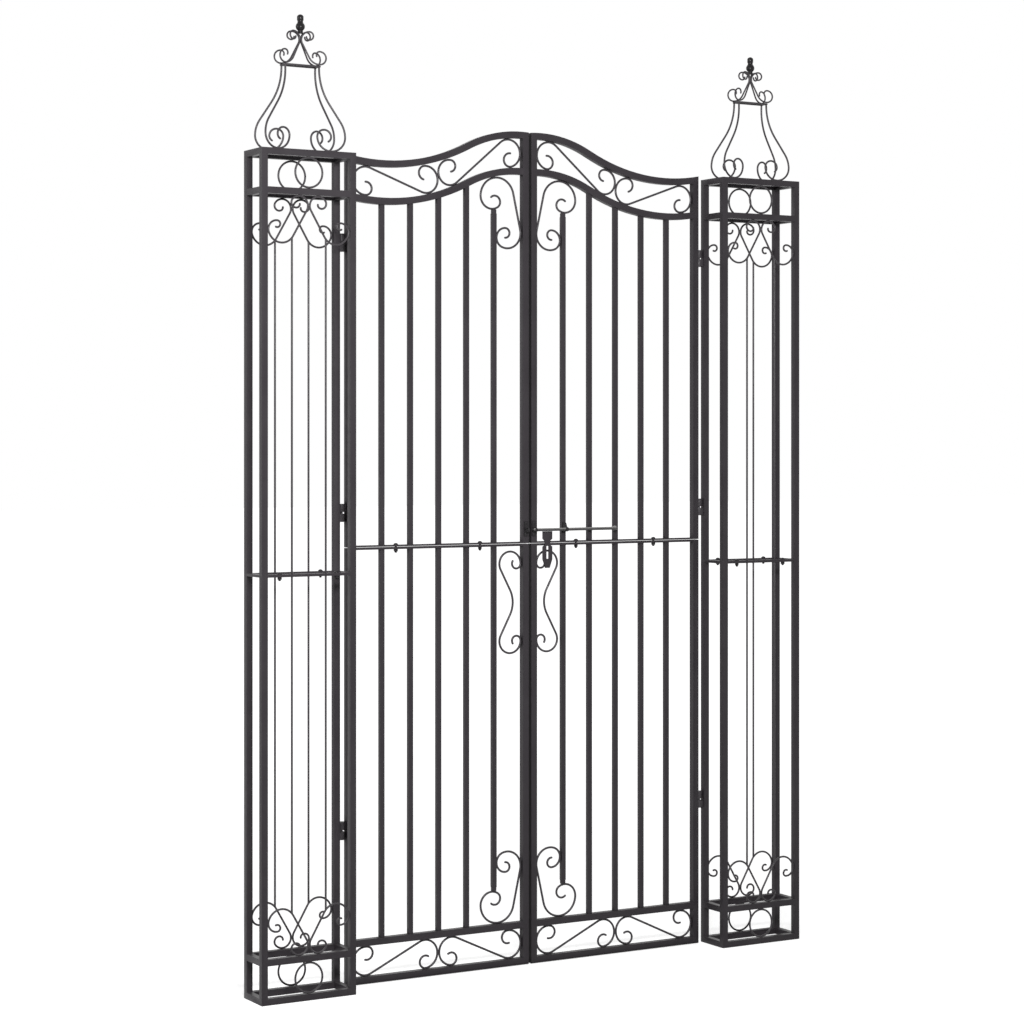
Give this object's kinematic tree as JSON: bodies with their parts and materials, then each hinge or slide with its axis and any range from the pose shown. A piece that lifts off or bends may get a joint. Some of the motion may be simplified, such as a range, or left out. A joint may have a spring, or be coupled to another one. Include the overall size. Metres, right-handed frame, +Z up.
{
  "type": "double garden gate",
  "caption": "Tall double garden gate between two open lattice posts with scrollwork spires: barred leaves under a rising wavy top rail, scroll panels, hinges and a slide bolt.",
  "frame": {"origin": "on the ground plane, under the middle of the left post's foot rail beside its leaf", "axes": "+X along the gate to the right seen from the front, +Y to the back, the way the leaves open, +Z up"},
  "size_m": [1.21, 0.0823, 1.8117],
  "materials": {
    "frame_tube": "satin dark grey-black powder coat",
    "scroll_rod": "satin dark grey-black powder coat",
    "turned_iron": "satin dark grey-black powder coat",
    "fittings": "satin dark grey-black powder coat"
  },
  "bodies": {
    "posts": {"left_post_upper_frame": "frame_tube", "left_post_lower_frame": "frame_tube", "left_post_upper_scrollwork": "scroll_rod", "left_post_lower_scrollwork": "scroll_rod", "left_post_joint_bolts": "fittings", "left_spire_cage": "scroll_rod", "left_spire_crown": "scroll_rod", "left_finial": "turned_iron", "left_post_hinges": "fittings", "right_post_upper_frame": "frame_tube", "right_post_lower_frame": "frame_tube", "right_post_upper_scrollwork": "scroll_rod", "right_post_lower_scrollwork": "scroll_rod", "right_post_joint_bolts": "fittings", "right_spire_cage": "scroll_rod", "right_spire_crown": "scroll_rod", "right_finial": "turned_iron", "right_post_hinges": "fittings"},
    "left_leaf": {"left_leaf_upper_panel": "frame_tube", "left_leaf_lower_panel": "frame_tube", "left_top_scrolls": "scroll_rod", "left_base_scrolls": "scroll_rod", "left_large_scrolls": "scroll_rod", "left_lyre_scroll": "scroll_rod", "left_leaf_hinges": "fittings", "left_leaf_joint_bolts": "fittings", "bolt_catch": "fittings"},
    "right_leaf": {"right_leaf_upper_panel": "frame_tube", "right_leaf_lower_panel": "frame_tube", "right_top_scrolls": "scroll_rod", "right_base_scrolls": "scroll_rod", "right_large_scrolls": "scroll_rod", "right_lyre_scroll": "scroll_rod", "right_leaf_hinges": "fittings", "right_leaf_joint_bolts": "fittings", "bolt_guides": "fittings", "hasp_plate": "fittings"},
    "bolt": {"slide_bolt": "fittings"}
  },
  "joints": [
    {"name": "left_leaf_swing", "type": "hinge", "parent": "posts", "child": "left_leaf", "pos_m": [0.01315, 0.0365, 0], "axis": [0, 0, 1], "range_deg": [0, 90]},
    {"name": "right_leaf_swing", "type": "hinge", "parent": "posts", "child": "right_leaf", "pos_m": [0.82685, 0.0365, 0], "axis": [0, 0, -1], "range_deg": [0, 90]},
    {"name": "bolt_slide", "type": "slide", "parent": "right_leaf", "child": "bolt", "axis": [-1, 0, 0], "range_m": [0, 0.052]}
  ]
}
